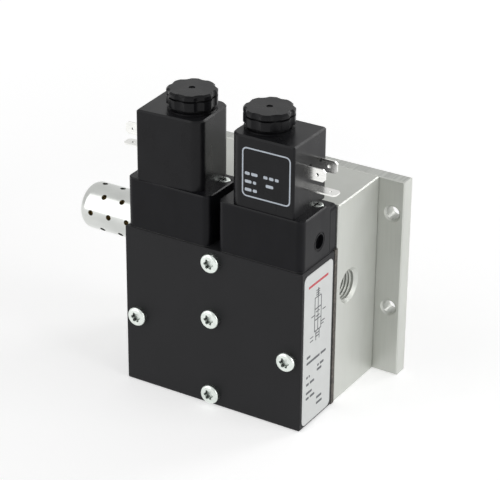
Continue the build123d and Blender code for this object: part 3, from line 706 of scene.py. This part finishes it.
class VALVE_OT_coils(bpy.types.Operator):
    """Dress the coils with their blades and nuts, and print the frame on the right coil."""
    bl_idname = "valve.coils"
    bl_label = "Coils"

    def execute(self, context):
        colours = context.scene.valve_colours
        sizes = context.scene.valve_sizes
        coil = moulded_plastic("moulded_epoxy", colours.coil, sizes,
                               roughness=0.3, grain_depth=0.015 * MM, specular=0.14)
        nut = moulded_plastic("moulded_acetal", colours.nut, sizes,
                              roughness=0.3, grain_depth=0.02 * MM, specular=0.13)
        blade = plated_metal("tinned_brass", colours.tin, roughness=0.22, streak=(6, 0.5, 0.5))
        dress(coil, *both("coil"))
        dress(nut, *both("coil_nut"))
        dress(blade, *both("coil_terminals"))
        dress(enamelled_copper(), *both("coil_winding"))
        dress(rubber(), *both("nut_ring"))
        self.print_front(colours, sizes)
        return {"FINISHED"}

    def print_front(self, colours, sizes):
        """Print the frame and its rows of bars on the front of the right coil."""
        low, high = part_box("coil_right")
        proud = sizes.print_proud
        terminal_side = high.x

        def on_front(u, v, w):
            return Vector((terminal_side - u * MM, low.y - w, low.z + v * MM))

        ink = printed_film("light_ink", colours.coil_print, roughness=0.5)
        line = sizes.outline_width / MM
        corner = sizes.outline_round / MM
        u0, v0, u1, v1 = COIL_FRAME
        outer = rounded_loop(u0, v0, u1, v1, corner)
        inner = rounded_loop(u0 + line, v0 + line, u1 - line, v1 - line, corner - line)
        print_outline("coil_print_frame", outer, inner, on_front, proud, ink)
        loops = []
        for row, lengths in COIL_ROWS:
            u = COIL_ROW_START
            for length in lengths:
                if length > 0:
                    loops.append(bar_loop(u - length, row, length, COIL_BAR_HEIGHT))
                u -= abs(length) + COIL_BAR_GAP
        print_shapes("coil_print_bars", loops, on_front, proud, ink)


class VALVE_OT_silencer(bpy.types.Operator):
    """Dress the silencer, its neck and the sintered sleeve inside."""
    bl_idname = "valve.silencer"
    bl_label = "Silencer"

    def execute(self, context):
        colours = context.scene.valve_colours
        nickel = plated_metal("nickel_plated_steel", colours.nickel, roughness=0.2, mottle=0.03,
                              streak=(20, 9, 9))
        dress(nickel, "silencer_tube", "silencer_neck")
        dress(sintered_bronze(colours), "silencer_diffuser")
        return {"FINISHED"}


class VALVE_OT_working_pieces(bpy.types.Operator):
    """Dress the pieces that work inside the blocks and the coils."""
    bl_idname = "valve.working_pieces"
    bl_label = "Working pieces"

    def execute(self, context):
        turned = (3, 3, 0.3)
        steel = plated_metal("turned_stainless_steel", linear("#c9cac9"), roughness=0.28,
                             streak=turned)
        brass = plated_metal("turned_brass", linear("#cfae62"), roughness=0.28, streak=turned)
        dress(steel, *both("valve_seats", "valve_spool", "guide_tube", "fixed_core", "armature",
                           "coil_yoke"))
        dress(brass, *both("stem_guide", "nozzle"))
        dress(rubber(), *both("poppet_rubbers", "piston_seal", "armature_seal"))
        return {"FINISHED"}


class VALVE_OT_springs(bpy.types.Operator):
    """Put in copies of the coil springs with the wire finish."""
    bl_idname = "valve.springs"
    bl_label = "Springs"

    def execute(self, context):
        wire = plated_metal("drawn_spring_wire", linear("#a9aaab"), roughness=0.32)
        for side in SIDES:
            self.put_in(f"spool_spring_{side}", HOUSING, f"spool_{side}", wire)
            self.put_in(f"armature_spring_{side}", f"plunger_{side}", HOUSING, wire)
        return {"FINISHED"}

    def put_in(self, node, lower_body, upper_body, wire):
        """A copy of the solid spring with the wire, put in place of the solid. The lower and upper
        body are not used.
        """
        solid = frame["nodes"][node]
        data = solid.data.copy()
        data.transform(solid.matrix_world)
        data.materials.clear()
        data.materials.append(wire)
        spring = bpy.data.objects.new(f"{node}_coils", data)
        bpy.context.scene.collection.objects.link(spring)
        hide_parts(node)
        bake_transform(spring)


class VALVE_OT_stage(bpy.types.Operator):
    """Set the floor, the white surroundings, the lights and the camera."""
    bl_idname = "valve.stage"
    bl_label = "Stage"

    def execute(self, context):
        stage = context.scene.valve_stage
        self.make_floor(context)
        self.make_world(context, stage)
        self.make_lights(context, stage)
        self.make_camera(context, stage)
        context.scene.view_settings.view_transform = "Standard"
        return {"FINISHED"}

    def make_floor(self, context):
        mesh = bmesh.new()
        bmesh.ops.create_grid(mesh, x_segments=8, y_segments=8, size=FLOOR_HALF_WIDTH)
        data = bpy.data.meshes.new("floor")
        mesh.to_mesh(data)
        mesh.free()
        data.materials.append(painted_floor())
        floor = bpy.data.objects.new("floor", data)
        floor.location.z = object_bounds()[0].z - FLOOR_GAP
        context.scene.collection.objects.link(floor)
        floor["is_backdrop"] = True

    def make_world(self, context, stage):
        """Surroundings that look and reflect white, but light the valve only faintly."""
        world = bpy.data.worlds.new("white_surroundings")
        world.use_nodes = True
        tree = world.node_tree
        background = tree.nodes["Background"]
        background.inputs["Color"].default_value = opaque(WHITE)
        rays = add(tree, "ShaderNodeLightPath")
        direct = add(tree, "ShaderNodeMath", settings={"operation": "MAXIMUM"},
                     links={0: rays.outputs["Is Camera Ray"], 1: rays.outputs["Is Transmission Ray"]})
        seen = add(tree, "ShaderNodeMath", settings={"operation": "MAXIMUM"},
                   links={0: direct.outputs[0], 1: rays.outputs["Is Glossy Ray"]})
        strength = add(tree, "ShaderNodeMapRange", values={"To Min": stage.ambient, "To Max": 1.0},
                       links={"Value": seen.outputs[0]})
        tree.links.new(strength.outputs["Result"], background.inputs["Strength"])
        context.scene.world = world

    def make_lights(self, context, stage):
        low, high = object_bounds()
        target = (Vector(low) + Vector(high)) / 2
        # place from the middle of the valve, width and power
        lights = {
            "key_light": ((1.0, 0.05, 0.3), 0.8, stage.key_power),
            "fill_light": ((-0.6, -0.9, 0.35), 0.9, stage.fill_power),
            "upper_light": ((-0.52, -0.5, 0.86), 0.5, stage.upper_power),
            "rim_light": ((0.5, 0.85, 0.52), 0.35, stage.rim_power),
        }
        for name, (offset, size, power) in lights.items():
            data = bpy.data.lights.new(name, "AREA")
            data.shape = "SQUARE"
            data.size = size
            data.energy = power
            light = bpy.data.objects.new(name, data)
            light.visible_camera = False
            light.location = target + Vector(offset)
            light.rotation_euler = (-Vector(offset)).to_track_quat("-Z", "Y").to_euler()
            context.scene.collection.objects.link(light)

    def make_camera(self, context, stage):
        data = bpy.data.cameras.new("camera")
        data.lens = stage.lens
        data.sensor_width = SENSOR_WIDTH
        camera = bpy.data.objects.new("camera", data)
        a = stage.azimuth
        e = stage.elevation
        back = Vector((math.sin(a) * math.cos(e), -math.cos(a) * math.cos(e), math.sin(e)))
        right = Vector((math.cos(a), math.sin(a), 0))
        up = back.cross(right)
        turn = Matrix((right, up, back)).transposed().to_4x4() @ Matrix.Rotation(stage.roll, 4, "Z")
        camera.matrix_world = Matrix.Translation(stage.camera_place) @ turn
        context.scene.collection.objects.link(camera)
        context.scene.camera = camera


class VALVE_PT_panel(bpy.types.Panel):
    """Values of the finish and the stage, and a button for each step."""
    bl_idname = "VALVE_PT_panel"
    bl_label = "Safety valve"
    bl_space_type = "VIEW_3D"
    bl_region_type = "UI"
    bl_category = "Valve"

    def draw(self, context):
        for group in ("valve_sizes", "valve_colours", "valve_stage"):
            values = getattr(context.scene, group)
            for name in values.__annotations__:
                self.layout.prop(values, name)
        for step in STEPS:
            self.layout.operator(step.bl_idname)


STEPS = (VALVE_OT_blocks, VALVE_OT_port_threads, VALVE_OT_screws, VALVE_OT_side_label,
         VALVE_OT_pilots, VALVE_OT_coils, VALVE_OT_silencer, VALVE_OT_working_pieces,
         VALVE_OT_springs, VALVE_OT_stage)
GROUPS = {"valve_colours": ValveColours, "valve_sizes": ValveSizes, "valve_stage": ValveStage}


def register():
    for group in GROUPS.values():
        bpy.utils.register_class(group)
    for name, group in GROUPS.items():
        setattr(bpy.types.Scene, name, bpy.props.PointerProperty(type=group))
    for step in STEPS:
        bpy.utils.register_class(step)
    bpy.utils.register_class(VALVE_PT_panel)


def unregister():
    bpy.utils.unregister_class(VALVE_PT_panel)
    for step in reversed(STEPS):
        bpy.utils.unregister_class(step)
    for name, group in GROUPS.items():
        delattr(bpy.types.Scene, name)
        bpy.utils.unregister_class(group)


def main():
    register()
    for step in STEPS:
        area, name = step.bl_idname.split(".")
        getattr(getattr(bpy.ops, area), name)()


if __name__ == "__main__":
    main()
